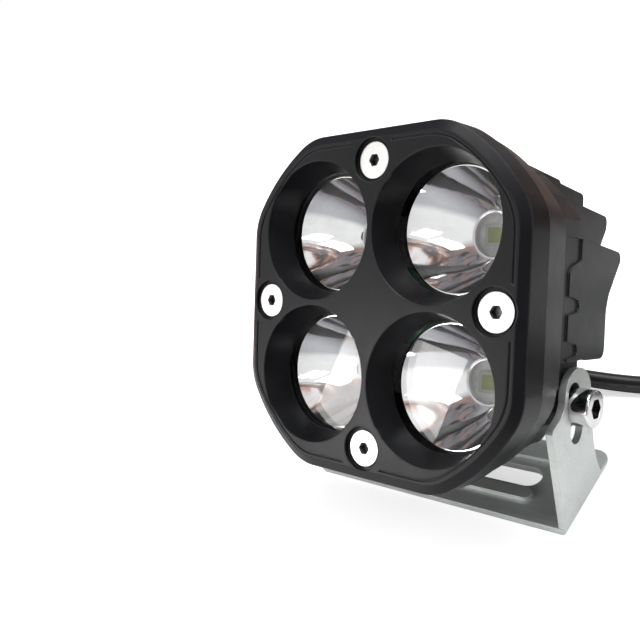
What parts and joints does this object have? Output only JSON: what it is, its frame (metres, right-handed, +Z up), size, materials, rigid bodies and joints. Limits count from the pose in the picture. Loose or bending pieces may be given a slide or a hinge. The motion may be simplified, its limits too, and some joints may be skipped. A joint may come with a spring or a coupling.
{
  "type": "vehicle fog light",
  "caption": "Square finned fog lamp with round reflectors behind a clear lens, pivoting on bolts in a steel U bracket, with a short sealed-plug lead.",
  "frame": {"origin": "centre of the slot at the underside of the bracket's base", "axes": "+Z up off the base, the lit face towards -Y and tipped up, +X to the right seen from the front of the lamp"},
  "size_m": [0.1348, 0.1147, 0.0855],
  "materials": {
    "bezel_black": "satin powder coat",
    "screw_nickel": "satin nickel",
    "clear_lens": "polished clear polycarbonate",
    "black_rubber": "matt moulded rubber",
    "reflector_mirror": "vacuum metallised mirror",
    "white_board": "white solder mask",
    "diode_white": "ceramic",
    "phosphor_yellow": "silicone",
    "inner_steel": "zinc plated",
    "grey_pad": "soft silicone",
    "green_board": "green solder mask",
    "dark_ferrite": "matt",
    "can_aluminium": "drawn can",
    "housing_black": "matt powder coat over a die casting",
    "gland_black": "moulded nylon",
    "wire_red": "extruded",
    "wire_black": "extruded",
    "cable_black": "smooth extruded jacket",
    "zinc_steel": "zinc plated sheet",
    "bolt_chrome": "bright nickel plate",
    "plug_black": "moulded nylon",
    "seal_orange": "silicone",
    "pin_brass": "tin plated"
  },
  "bodies": {
    "bracket": {"bracket": "zinc_steel", "power_cable": "cable_black", "cable_end": "cable_black", "cable_coil": "cable_black", "plug_body": "plug_black", "plug_seal": "seal_orange", "plug_latch": "plug_black", "plug_pins": "pin_brass"},
    "pivot_bolts": {"pivot_bolts": "bolt_chrome"},
    "lamp_head": {"front_bezel": "bezel_black", "bezel_screws": "screw_nickel", "lens_cover": "clear_lens", "lens_gasket": "black_rubber", "reflector_top_left": "reflector_mirror", "reflector_top_right": "reflector_mirror", "reflector_bottom_left": "reflector_mirror", "reflector_bottom_right": "reflector_mirror", "light_board": "white_board", "light_diodes": "diode_white", "diode_phosphors": "phosphor_yellow", "board_screws": "inner_steel", "thermal_pad": "grey_pad", "driver_board": "green_board", "driver_pillars": "inner_steel", "driver_inductor": "dark_ferrite", "driver_capacitors": "can_aluminium", "driver_chip": "dark_ferrite", "housing": "housing_black", "cable_gland": "gland_black", "gland_boot": "black_rubber", "wire_positive": "wire_red", "wire_negative": "wire_black", "cable_lead": "cable_black"}
  },
  "joints": [
    {"name": "slot_travel", "type": "slide", "parent": "bracket", "child": "pivot_bolts", "axis": [0, 0.1994, 0.9799], "range_m": [-0.0014, 0.002]},
    {"name": "head_tilt", "type": "hinge", "parent": "pivot_bolts", "child": "lamp_head", "pos_m": [0, 0.00294, 0.0225], "axis": [1, 0, 0], "range_deg": [-50, 28], "deforming": ["cable_lead"]}
  ]
}
